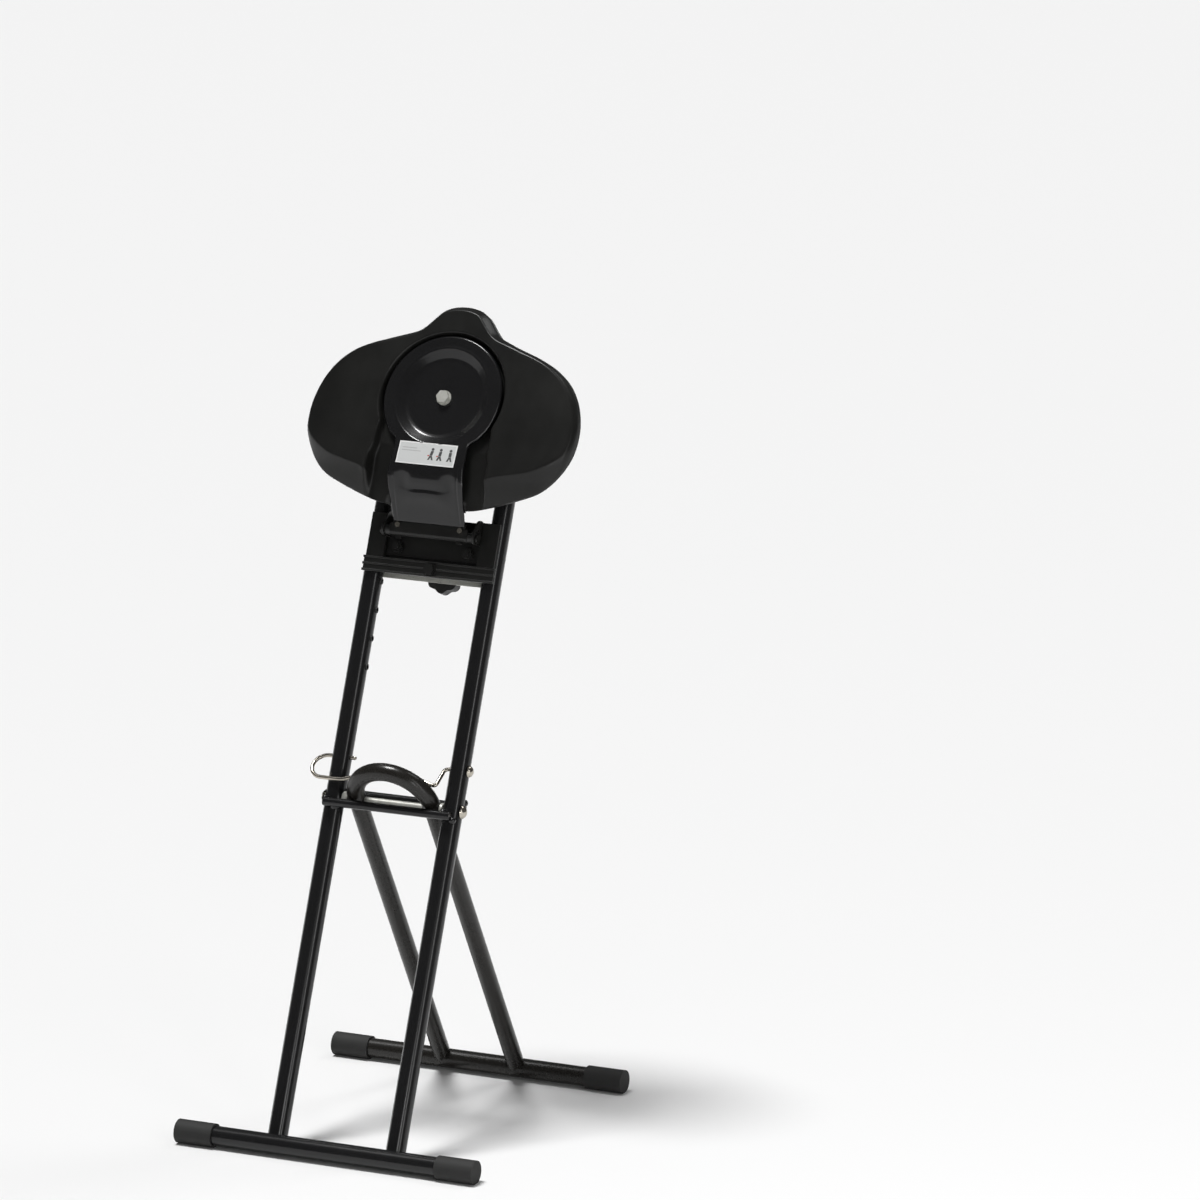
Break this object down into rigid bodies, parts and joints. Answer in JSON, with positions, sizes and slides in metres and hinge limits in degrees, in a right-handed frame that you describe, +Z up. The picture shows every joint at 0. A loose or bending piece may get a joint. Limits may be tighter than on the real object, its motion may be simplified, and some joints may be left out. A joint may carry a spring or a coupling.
{
  "type": "folding sit-stand stool",
  "caption": "Folding leaning stool: two leaning front tubes, a folding inverted-U rear frame, a sliding clamp and a saddle seat folded up flat against the tubes.",
  "frame": {"origin": "on the floor, under the centre of the bounding box", "axes": "+Z up; -Y to the front, where the seat folds down to; +X to the right as seen from the front"},
  "size_m": [0.41, 0.4552, 0.9995],
  "materials": {
    "painted": "gloss black powder coat",
    "painted_rear": "gloss black powder coat, worn slightly duller",
    "zinc": "bright zinc plate",
    "nickel": "polished nickel plate",
    "black_plastic": "moulded black nylon",
    "rubber": "matt black rubber",
    "foam_skin": "satin black integral-skin polyurethane foam, lightly grained",
    "plywood": "birch plywood",
    "label": null,
    "black_steel": "satin black plated steel"
  },
  "bodies": {
    "frame": {"front_tube_left": "painted", "front_tube_right": "painted", "index_eyelets": "black_steel", "tube_end_plugs": "black_plastic", "front_stop_rod": "painted", "rear_stop_rod": "painted", "front_foot_tube": "painted", "front_foot_caps": "rubber", "pivot_axle": "zinc", "axle_spacers": "zinc", "axle_dome_caps": "nickel"},
    "rear_frame": {"rear_frame_tube": "painted_rear", "pivot_bushes": "black_plastic", "rear_foot_tube": "painted_rear", "rear_foot_caps": "rubber"},
    "latch": {"latch_wire": "nickel", "latch_cap": "nickel"},
    "carriage": {"carriage_shell": "black_steel", "clamp_front_plate": "black_steel", "clamp_back_plate": "zinc", "guide_sleeves": "black_plastic", "hinge_bracket": "black_steel", "bracket_bolts": "black_steel", "bracket_nuts": "black_steel", "clamp_bolt": "black_steel", "clamp_washer": "zinc", "hinge_pin": "black_steel", "hinge_washers": "black_plastic"},
    "knob": {"star_knob": "black_plastic", "knob_insert": "zinc"},
    "seat": {"hinge_bar": "black_steel", "seat_plate": "painted", "hinge_screws": "nickel", "seat_label": "label", "seat_bolt": "zinc", "seat_washer": "zinc", "seat_cushion": "foam_skin", "seat_nut": "zinc", "seat_board": "plywood"}
  },
  "joints": [
    {"name": "rear_fold", "type": "hinge", "parent": "frame", "child": "rear_frame", "pos_m": [0, -0.02242, 0.41], "axis": [-1, 0, 0], "range_deg": [0, 53.1], "deforming": ["latch_wire"]},
    {"name": "latch_swing", "type": "hinge", "parent": "frame", "child": "latch", "pos_m": [0, -0.00298, 0.45715], "axis": [-1, 0, 0], "range_deg": [0, 122.5]},
    {"name": "height_slide", "type": "slide", "parent": "frame", "child": "carriage", "axis": [0, 0.3811, 0.9245], "range_m": [-0.145, 0.036]},
    {"name": "seat_tilt", "type": "hinge", "parent": "carriage", "child": "seat", "pos_m": [0, 0.08058, 0.73205], "axis": [1, 0, 0], "range_deg": [0, 110]},
    {"name": "knob_turn", "type": "hinge", "parent": "carriage", "child": "knob", "pos_m": [0.003, 0.11713, 0.66983], "axis": [0, -0.9245, 0.3811], "continuous": true}
  ],
  "couplings": [
    {"joint": "latch_swing", "follows": "rear_fold", "ratio": 2.3}
  ]
}
